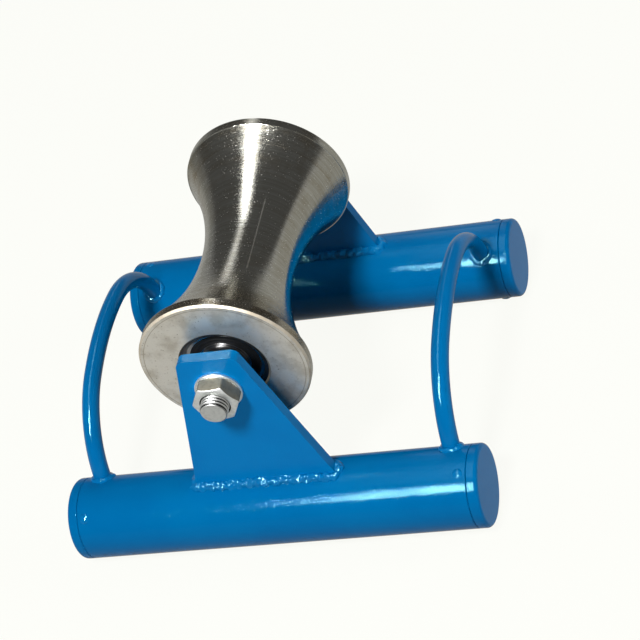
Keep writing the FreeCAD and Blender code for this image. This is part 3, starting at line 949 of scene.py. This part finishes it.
def nut_shape(sizes):
    """Hexagon nut with rounded corners, faces chamfered at thirty degrees and a countersunk bore."""
    thickness = nut_high.y - nut_low.y
    face_radius = sizes.nut_flats / 2 * 0.95
    bore = sizes.thread_radius + 0.00005
    mouth = bore + sizes.nut_countersink
    bm = bmesh.new()
    bmesh.ops.create_circle(bm, segments=6, radius=sizes.nut_flats / math.sqrt(3), cap_ends=False,
                            matrix=Matrix.Rotation(math.pi / 2, 4, "X"))
    bmesh.ops.rotate(bm, verts=bm.verts[:], cent=(0, 0, 0), matrix=Matrix.Rotation(math.pi / 2, 3, "Y"))
    soften(bm, bm.verts[:], sizes.nut_corner, 6, "VERTICES")
    long_sides = [edge for edge in bm.edges if edge.calc_length() > sizes.nut_flats / 4]
    bmesh.ops.subdivide_edges(bm, edges=long_sides, cuts=14)
    merge(bm)

    def lift(vert):
        """How far the chamfer of the corners takes the face back at a vertex."""
        reach = math.hypot(vert.co.x, vert.co.z)
        return max(0.0, reach - face_radius) * math.tan(math.radians(30))

    def grow(edges, place):
        """Extrude a loop and put each new vertex where place says."""
        grown = bmesh.ops.extrude_edge_only(bm, edges=edges)["geom"]
        for vert in only(grown, bmesh.types.BMVert):
            vert.co = place(vert)
        return only(grown, bmesh.types.BMEdge)

    def ring(radius, along):
        """A place on a circle for each vertex of the loop."""
        def place(vert):
            reach = math.hypot(vert.co.x, vert.co.z)
            return Vector((vert.co.x * radius / reach, along, vert.co.z * radius / reach))
        return place

    for vert in bm.verts:
        vert.co.y = lift(vert)
    outer = bm.edges[:]
    far_hexagon = grow(outer, lambda vert: Vector((vert.co.x, thickness - lift(vert), vert.co.z)))
    loops = far_hexagon
    rings = ((face_radius, thickness), (mouth, thickness), (bore, thickness - sizes.nut_countersink),
             (bore, sizes.nut_countersink), (mouth, 0.0), (face_radius, 0.0))
    for radius, along in rings:
        loops = grow(loops, ring(radius, along))
    bmesh.ops.bridge_loops(bm, edges=loops + outer)
    bmesh.ops.recalc_face_normals(bm, faces=bm.faces[:])
    soften(bm, [edge for edge in outer + far_hexagon if edge.is_valid], 0.0003, 3, "EDGES")
    return bm


def add_nuts(sizes):
    """Nuts and washers on both ends of the axle."""
    bm = carry(nut_shape(sizes), Vector((0, nut_low.y, axle_centre.z)))
    bm.normal_update()
    # Painted shade: the flats take a darker, rougher copy of the zinc
    for face in bm.faces:
        if abs(face.normal.y) < 0.3:
            face.material_index = 1
    finished_pair(bm, "hexagon_nut", "frame", ["zinc_plating", "dull_zinc_plating"], "nut")
    outer = (washer_high.x - washer_low.x) / 2
    points = [(washer_low.y, sizes.washer_hole, 0.0003), (washer_low.y, outer, 0.0006),
              (washer_high.y, outer, 0.0003), (washer_high.y, sizes.washer_hole, 0.0003)]
    bm = carry(turn(wire(points), 128), axle_centre)
    finished_pair(bm, "flat_washer", "frame", ["zinc_plating"], "washer")


def add_bearings():
    """Ribbed seals, and the finishes of the rings, balls, cages and retaining rings."""
    outer = (seal_high.x - seal_low.x) / 2
    inner = seal_inner
    # Radius and depth below the face of each corner of a seal's outline
    outline = ((inner, 0), (inner + 0.0008, 0), (inner + 0.001, seal_rib), (inner + 0.0026, seal_rib),
               (inner + 0.0028, 0), (inner + 0.0036, 0), (inner + 0.0038, seal_rib),
               (outer - 0.0012, seal_rib), (outer - 0.001, 0), (outer, 0), (outer, seal_thickness),
               (inner, seal_thickness))
    seals = bmesh.new()
    for face, inward in ((seal_low.y, 1), (seal_high.y, -1)):
        points = [(face + inward * depth, radius, 0) for radius, depth in outline]
        join_shapes(seals, turn(wire(points), 128))
    carry(seals, axle_centre)
    finished_pair(seals, "ribbed_seals", "roller", ["seal_rubber_black"], "bearing_seals")
    looks = (("bearing_outer_ring", "ground_bearing_steel"), ("bearing_inner_ring", "ground_bearing_steel"),
             ("bearing_balls", "ground_bearing_steel"), ("bearing_cage", "cage_nylon"),
             ("circlip", "black_spring_steel"))
    for stem, material in looks:
        for side in ("front_", "rear_"):
            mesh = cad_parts[side + stem].data
            mesh.materials.clear()
            mesh.materials.append(finishes()[material])


def light_path(finish):
    """Whether a ray comes from the camera, and whether it comes from a glossy or clear surface."""
    rays = finish.node("ShaderNodeLightPath").socket.node.outputs
    shiny = Signal(finish, rays["Is Glossy Ray"]).most(Signal(finish, rays["Is Transmission Ray"]))
    return Signal(finish, rays["Is Camera Ray"]), shiny


def add_surroundings(light):
    """Pale surroundings, seen in glossy surfaces as a dim ceiling over a brighter ground."""
    world = bpy.data.worlds.new("studio")
    world.use_nodes = True
    bpy.context.scene.world = world
    finish = Finish(world.node_tree)
    seen, shiny = light_path(finish)
    x, _, height = finish.parts(finish.node("ShaderNodeTexCoord", output="Generated"))
    below = finish.fade(height, 0.08, 0.02)
    dim = finish.fade(x, -0.5, -0.9, 1.0, 0.5)
    mirrored = light.ceiling + (light.horizon * dim - light.ceiling) * below
    level = seen + (1 - seen) * (shiny * mirrored + (1 - shiny) * light.ambient)
    tint = finish.blend(seen, (1, 1, 1, 1), solid(light.backdrop))
    sky = finish.node("ShaderNodeBackground", None, {"Color": tint, "Strength": level})
    finish.node("ShaderNodeOutputWorld", None, {"Surface": sky})


def add_floor(light):
    """Floor as pale as the surroundings, which keeps a share of its shadow."""
    bm = bmesh.new()
    bmesh.ops.create_grid(bm, x_segments=1, y_segments=1, size=floor_half)
    mesh = bpy.data.meshes.new("studio_floor")
    bm.to_mesh(mesh)
    bm.free()
    floor = bpy.data.objects.new("studio_floor", mesh)
    bpy.context.scene.collection.objects.link(floor)
    finish = new_finish("studio_floor")
    seen, shiny = light_path(finish)
    grey = finish.blend(seen, solid([floor_dark] * 3), solid([floor_pale] * 3))
    matte = finish.node("ShaderNodeBsdfDiffuse", None, {"Color": grey})
    x, _, _ = finish.parts(finish.place())
    brightness = seen + (1 - seen) * light.horizon * finish.fade(x, -0.4, -1.0, 1.0, 0.5)
    glow = finish.node("ShaderNodeEmission", None, {"Color": solid(light.backdrop), "Strength": brightness})
    share = seen.most(shiny) * light.floor_glow
    mixed = finish.node("ShaderNodeMixShader", None, {0: share, 1: matte, 2: glow})
    finish.node("ShaderNodeOutputMaterial", None, {"Surface": mixed})
    mesh.materials.append(bpy.data.materials["studio_floor"])


def add_lamps(light):
    """Lamps of the studio: some light matte surfaces only, and some are seen in glossy surfaces only."""
    centre = Vector((0.0, 0.0, 0.08))
    above = Vector((-0.24, 0.12, 2.1))
    both = (True, True)
    matte = (True, False)
    glossy = (False, True)
    rows = (("key", (0.3, 0.3), centre + Vector((0.0, -0.54, 0.84)) * 2.0, centre, both),
            ("front", (0.3, 0.3), centre + Vector((0.0, -0.98, 0.18)) * 2.0, centre, matte),
            ("strip", (0.125, 0.6), Vector((-0.4, -1.32, 1.42)), centre, glossy),
            ("top", (0.46, 1.9), above, Vector((above.x, above.y, 0.0)), glossy),
            ("far", (0.3, 2.5), Vector((-0.47, 2.05, 1.6)), centre, glossy),
            ("back", (0.5, 0.5), centre + Vector((0.0, 0.97, 0.22)) * 2.0, centre, matte),
            ("side", (0.7, 0.7), Vector((1.7, 0.12, 0.6)), centre, matte),
            ("left", (0.7, 0.7), Vector((-1.7, 0.12, 0.5)), centre, matte))
    for name, size, place, target, (on_matte, on_glossy) in rows:
        made = lamp(name + "_lamp", getattr(light, name + "_power"), size, place, target)
        made.visible_diffuse = on_matte
        made.visible_glossy = on_glossy


def add_camera():
    """Camera at the front right and above, rolled to its right."""
    data = bpy.data.cameras.new("camera")
    data.lens = camera_lens
    data.sensor_width = camera_sensor
    camera = bpy.data.objects.new("camera", data)
    bpy.context.scene.collection.objects.link(camera)
    right_x = math.cos(camera_azimuth)
    right_y = math.sin(camera_azimuth)
    level = math.cos(camera_elevation)
    back = Vector((right_y * level, -right_x * level, math.sin(camera_elevation)))
    level_right = Vector((right_x, right_y, 0.0))
    level_up = back.cross(level_right)
    right = math.cos(camera_roll) * level_right + math.sin(camera_roll) * level_up
    up = math.cos(camera_roll) * level_up - math.sin(camera_roll) * level_right
    turned = Matrix((right, up, back)).transposed().to_4x4()
    camera.matrix_world = Matrix.Translation(camera_aim + back * camera_distance) @ turned
    bpy.context.scene.camera = camera


def add_stage(light):
    """Surroundings, floor, lamps and camera."""
    add_surroundings(light)
    add_floor(light)
    add_lamps(light)
    add_camera()
    bpy.context.scene.view_settings.view_transform = "Standard"


def lamp(name, power, size, place, target):
    """A flat lamp that faces a point."""
    data = bpy.data.lights.new(name, "AREA")
    data.shape = "RECTANGLE"
    data.size = size[0]
    data.size_y = size[1]
    data.energy = power
    made = bpy.data.objects.new(name, data)
    bpy.context.scene.collection.objects.link(made)
    turned = (target - place).to_track_quat("-Z", "Y").to_matrix().to_4x4()
    made.matrix_world = Matrix.Translation(place) @ turned
    return made


class ROLLER_OT_tubes(bpy.types.Operator):
    """Add the tubes, caps and plug welds"""

    bl_idname = "cable_roller.tubes"
    bl_label = "Tubes and Caps"

    def execute(self, context):
        for add in (add_tubes, add_caps, add_plugs):
            add(context.scene.base_sizes)
        return {"FINISHED"}


class ROLLER_OT_plates(bpy.types.Operator):
    """Add the plates and their weld beads"""

    bl_idname = "cable_roller.plates"
    bl_label = "Plates and Beads"

    def execute(self, context):
        for add in (add_plates, add_plate_welds):
            add(context.scene.base_sizes)
        return {"FINISHED"}


class ROLLER_OT_rods(bpy.types.Operator):
    """Add the handle rods and their weld beads"""

    bl_idname = "cable_roller.rods"
    bl_label = "Handle Rods"

    def execute(self, context):
        add_rods(context.scene.base_sizes)
        return {"FINISHED"}


class ROLLER_OT_roller(bpy.types.Operator):
    """Add the hourglass roller"""

    bl_idname = "cable_roller.roller"
    bl_label = "Roller"

    def execute(self, context):
        add_roller(context.scene.roller_sizes)
        return {"FINISHED"}


class ROLLER_OT_axle(bpy.types.Operator):
    """Add the threaded axle and the spacers"""

    bl_idname = "cable_roller.axle"
    bl_label = "Axle and Spacers"

    def execute(self, context):
        add_axle(context.scene.roller_sizes)
        return {"FINISHED"}


class ROLLER_OT_nuts(bpy.types.Operator):
    """Add the nuts and washers"""

    bl_idname = "cable_roller.nuts"
    bl_label = "Nuts and Washers"

    def execute(self, context):
        add_nuts(context.scene.roller_sizes)
        return {"FINISHED"}


class ROLLER_OT_bearings(bpy.types.Operator):
    """Add the seals and finish the bearings and retaining rings"""

    bl_idname = "cable_roller.bearings"
    bl_label = "Bearings"

    def execute(self, context):
        add_bearings()
        return {"FINISHED"}


class ROLLER_OT_stage(bpy.types.Operator):
    """Add the floor, the lamps and the camera"""

    bl_idname = "cable_roller.stage"
    bl_label = "Stage"

    def execute(self, context):
        add_stage(context.scene.studio_light)
        return {"FINISHED"}


operators = (ROLLER_OT_tubes, ROLLER_OT_plates, ROLLER_OT_rods, ROLLER_OT_roller, ROLLER_OT_axle,
             ROLLER_OT_nuts, ROLLER_OT_bearings, ROLLER_OT_stage)


class ROLLER_PT_panel(bpy.types.Panel):
    """Buttons that build the roller piece by piece"""

    bl_idname = "ROLLER_PT_panel"
    bl_label = "Cable Trench Roller"
    bl_space_type = "VIEW_3D"
    bl_region_type = "UI"
    bl_category = "Roller"

    def draw(self, context):
        for operator in operators:
            self.layout.operator(operator.bl_idname)


groups = (BaseSizes, RollerSizes, FinishColours, StudioLight)


def register():
    for made in groups + operators + (ROLLER_PT_panel,):
        bpy.utils.register_class(made)
    bpy.types.Scene.base_sizes = PointerProperty(type=BaseSizes)
    bpy.types.Scene.roller_sizes = PointerProperty(type=RollerSizes)
    bpy.types.Scene.finish_colours = PointerProperty(type=FinishColours)
    bpy.types.Scene.studio_light = PointerProperty(type=StudioLight)


def unregister():
    del bpy.types.Scene.studio_light
    del bpy.types.Scene.finish_colours
    del bpy.types.Scene.roller_sizes
    del bpy.types.Scene.base_sizes
    for made in reversed(groups + operators + (ROLLER_PT_panel,)):
        bpy.utils.unregister_class(made)


def main():
    register()
    bpy.ops.cable_roller.tubes()
    bpy.ops.cable_roller.plates()
    bpy.ops.cable_roller.rods()
    bpy.ops.cable_roller.roller()
    bpy.ops.cable_roller.axle()
    bpy.ops.cable_roller.nuts()
    bpy.ops.cable_roller.bearings()
    bpy.ops.cable_roller.stage()


if __name__ == "__main__":
    main()
